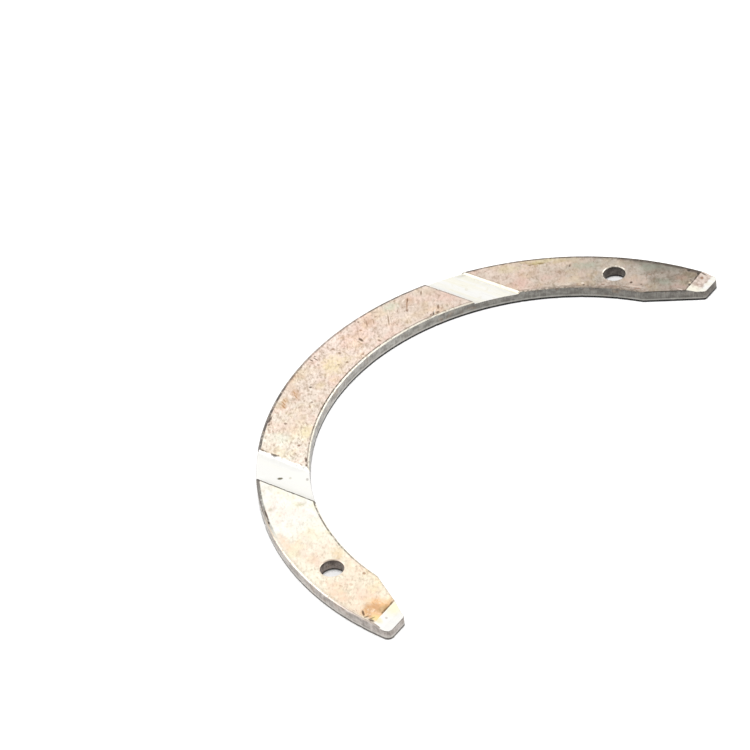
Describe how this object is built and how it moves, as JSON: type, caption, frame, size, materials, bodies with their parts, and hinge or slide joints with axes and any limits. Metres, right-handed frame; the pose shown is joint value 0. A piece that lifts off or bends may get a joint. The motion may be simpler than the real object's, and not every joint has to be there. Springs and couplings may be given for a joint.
{
  "type": "thrust washer",
  "caption": "Half-ring thrust washer for a crankshaft: a thin flat plate with straight oil grooves, ramped reliefs at its ends and round dowel holes.",
  "frame": {"origin": "bottom centre of the bounding box, on the plane of the plain back", "axes": "+X along the length from end to end, +Y from the two ends to the crown, +Z through the thickness from the plain back to the grooved thrust face"},
  "size_m": [0.15, 0.0746, 0.0034],
  "materials": {
    "bearing_steel": "matte worn thrust face with bright machined grooves and reliefs, and plain grey edges"
  },
  "bodies": {
    "root": {"thrust_washer": "bearing_steel"}
  },
  "joints": []
}
